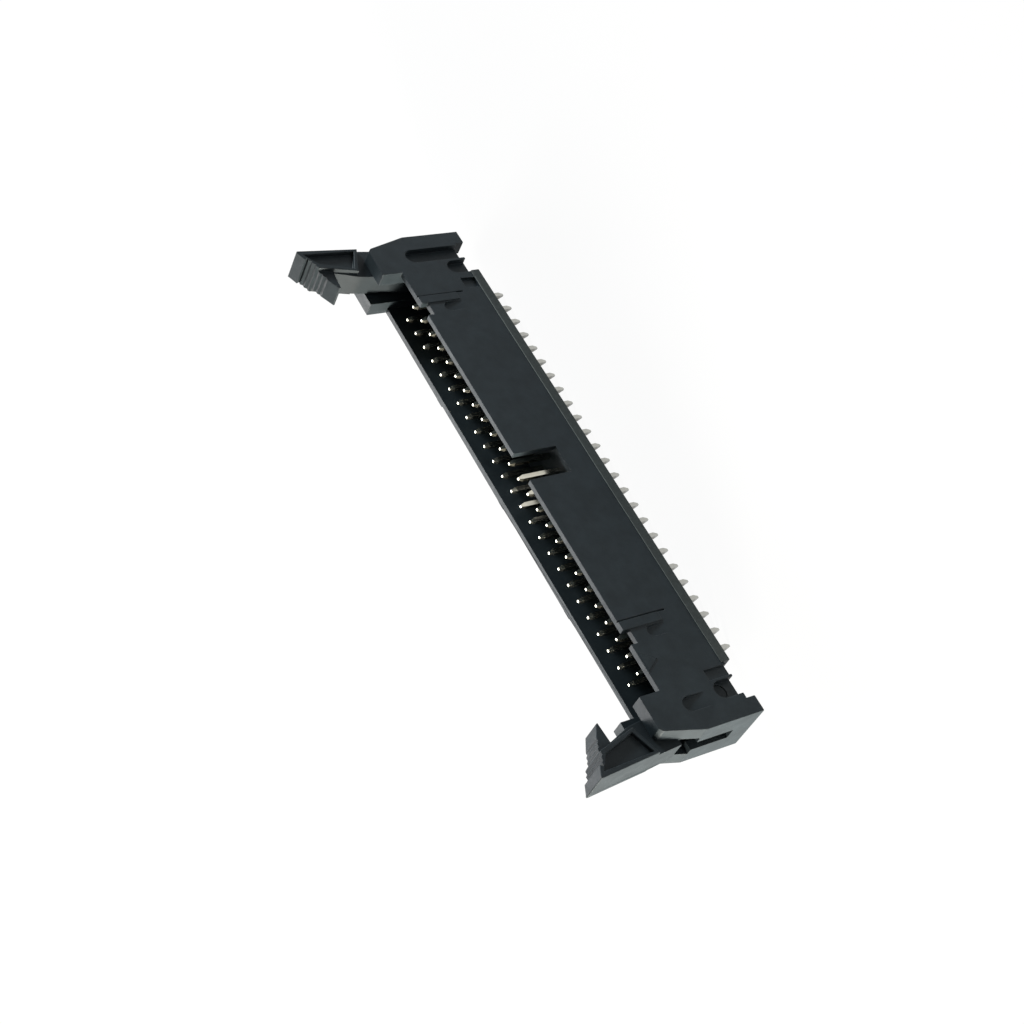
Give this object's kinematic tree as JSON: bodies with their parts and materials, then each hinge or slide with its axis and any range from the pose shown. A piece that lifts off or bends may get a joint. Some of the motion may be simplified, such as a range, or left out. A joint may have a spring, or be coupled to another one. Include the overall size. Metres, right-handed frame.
{
  "type": "latched box header",
  "caption": "Straight board header: a keyed, open-topped shroud round rows of square contacts, with a hinged ejector latch at each end.",
  "frame": {"origin": "middle of the contact grid, on the board surface that the feet stand on", "axes": "+X along the contact rows, +Z out of the board and the way the plug leaves, the keyed wall faces -Y"},
  "size_m": [0.0838, 0.0082, 0.0278],
  "materials": {
    "housing_plastic": "fine satin moulded",
    "latch_plastic": "fine satin moulded",
    "contact_metal": "thin bright plating"
  },
  "bodies": {
    "header": {"housing": "housing_plastic", "contact_01": "contact_metal", "contact_02": "contact_metal", "contact_03": "contact_metal", "contact_04": "contact_metal", "contact_05": "contact_metal", "contact_06": "contact_metal", "contact_07": "contact_metal", "contact_08": "contact_metal", "contact_09": "contact_metal", "contact_10": "contact_metal", "contact_11": "contact_metal", "contact_12": "contact_metal", "contact_13": "contact_metal", "contact_14": "contact_metal", "contact_15": "contact_metal", "contact_16": "contact_metal", "contact_17": "contact_metal", "contact_18": "contact_metal", "contact_19": "contact_metal", "contact_20": "contact_metal", "contact_21": "contact_metal", "contact_22": "contact_metal", "contact_23": "contact_metal", "contact_24": "contact_metal", "contact_25": "contact_metal", "contact_26": "contact_metal", "contact_27": "contact_metal", "contact_28": "contact_metal", "contact_29": "contact_metal", "contact_30": "contact_metal", "contact_31": "contact_metal", "contact_32": "contact_metal", "contact_33": "contact_metal", "contact_34": "contact_metal", "contact_35": "contact_metal", "contact_36": "contact_metal", "contact_37": "contact_metal", "contact_38": "contact_metal", "contact_39": "contact_metal", "contact_40": "contact_metal", "contact_41": "contact_metal", "contact_42": "contact_metal", "contact_43": "contact_metal", "contact_44": "contact_metal", "contact_45": "contact_metal", "contact_46": "contact_metal", "contact_47": "contact_metal", "contact_48": "contact_metal", "contact_49": "contact_metal", "contact_50": "contact_metal"},
    "left_latch": {"latch_left": "latch_plastic"},
    "right_latch": {"latch_right": "latch_plastic"}
  },
  "joints": [
    {"name": "left_latch_hinge", "type": "hinge", "parent": "header", "child": "left_latch", "pos_m": [-0.0367, 0, 0.0038], "axis": [0, -1, 0], "range_deg": [-10, 18]},
    {"name": "right_latch_hinge", "type": "hinge", "parent": "header", "child": "right_latch", "pos_m": [0.0367, 0, 0.0038], "axis": [0, 1, 0], "range_deg": [-10, 18]}
  ]
}
